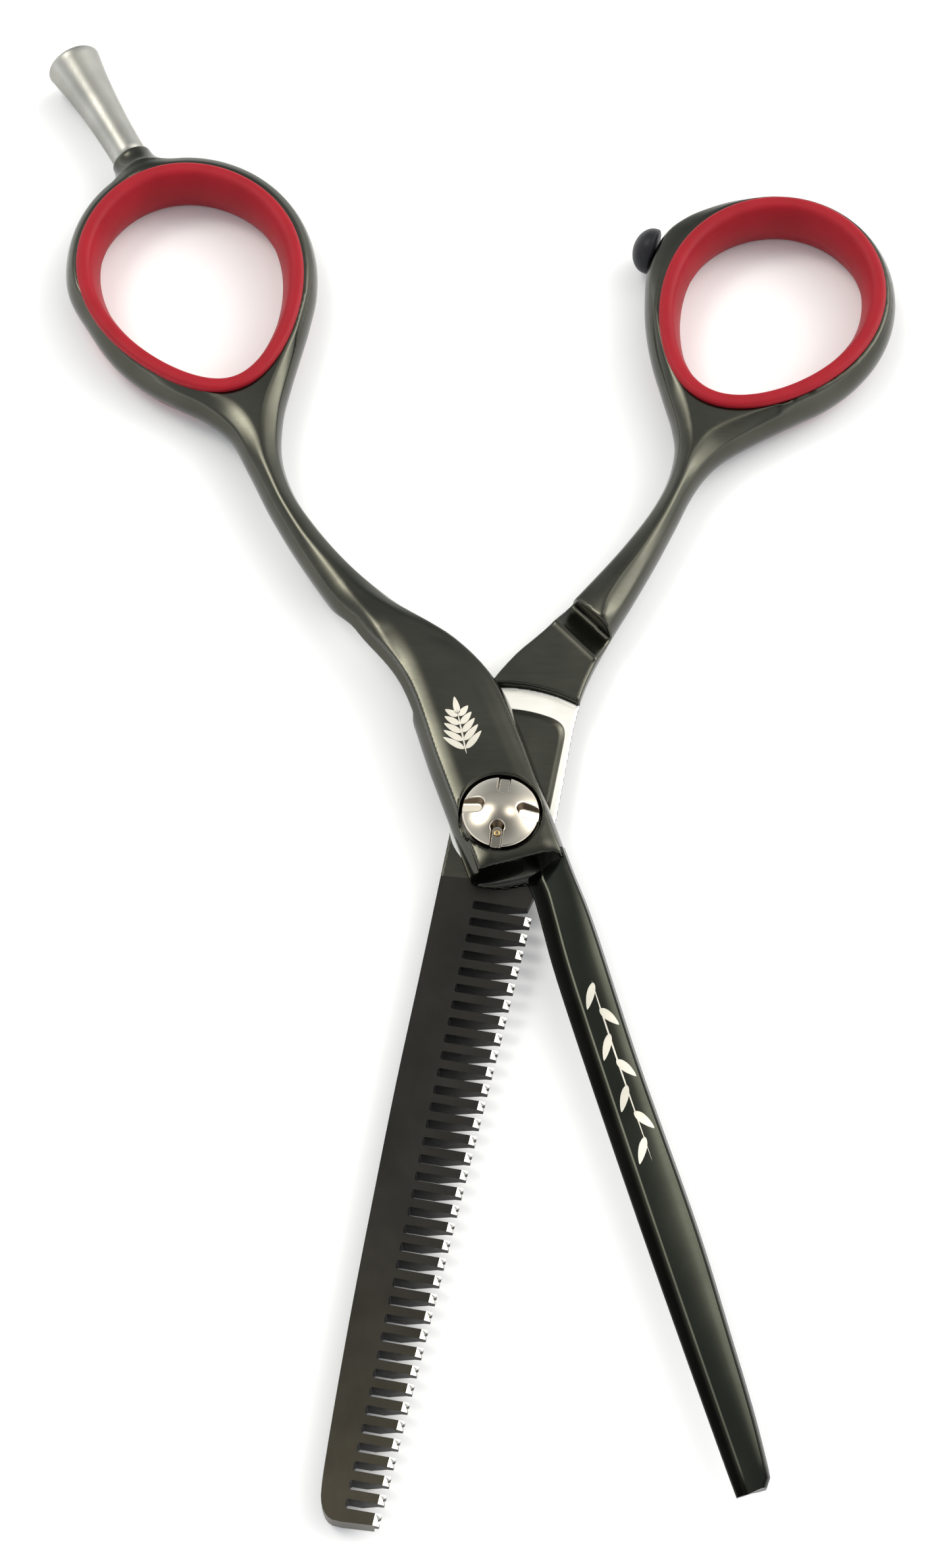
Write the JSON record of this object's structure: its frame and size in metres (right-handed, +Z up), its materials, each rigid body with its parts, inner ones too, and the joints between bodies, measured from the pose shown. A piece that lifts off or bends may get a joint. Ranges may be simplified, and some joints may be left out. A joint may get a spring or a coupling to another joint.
{
  "type": "thinning shears",
  "caption": "Hairdresser's thinning shears with a comb blade, a plain cutting blade, lined finger rings, a finger rest and a domed tension dial.",
  "frame": {"origin": "where the pivot axis meets the plane that the shears rest on", "axes": "+Z up through the pivot and out of the tension dial; the blades point toward -Y and the finger rings toward +Y"},
  "size_m": [0.087, 0.1573, 0.0075],
  "materials": {
    "coated_steel": "polished steel with a dark olive-black coating",
    "red_rubber": "matte soft rubber",
    "black_rubber": "satin rubber",
    "nickel": "polished nickel",
    "satin_steel": "turned satin steel",
    "spring_steel": "plain steel",
    "brass": "turned brass",
    "bronze": "sintered bronze",
    "white_plastic": "plain low-friction plastic"
  },
  "bodies": {
    "thinning_side": {"thinning_half": "coated_steel", "thumb_ring_insert": "red_rubber", "bumper": "black_rubber", "pivot_bolt": "nickel", "ride_washer": "white_plastic", "click_plate": "spring_steel"},
    "cutting_side": {"cutting_half": "coated_steel", "finger_ring_insert": "red_rubber", "finger_rest": "satin_steel", "finger_rest_stud": "spring_steel", "pivot_bushing": "bronze", "thrust_washer": "spring_steel"},
    "dial": {"tension_dial": "nickel", "index_pin": "brass", "index_spring": "spring_steel", "disc_spring_lower": "spring_steel", "disc_spring_upper": "spring_steel"}
  },
  "joints": [
    {"name": "blade_pivot", "type": "hinge", "parent": "thinning_side", "child": "cutting_side", "pos_m": [0, 0, 0.003], "axis": [0, 0, 1], "range_deg": [-28, 62]},
    {"name": "tension_dial_turn", "type": "hinge", "parent": "thinning_side", "child": "dial", "pos_m": [0, 0, 0.0063], "axis": [0, 0, 1], "range_deg": [-180, 180]}
  ]
}
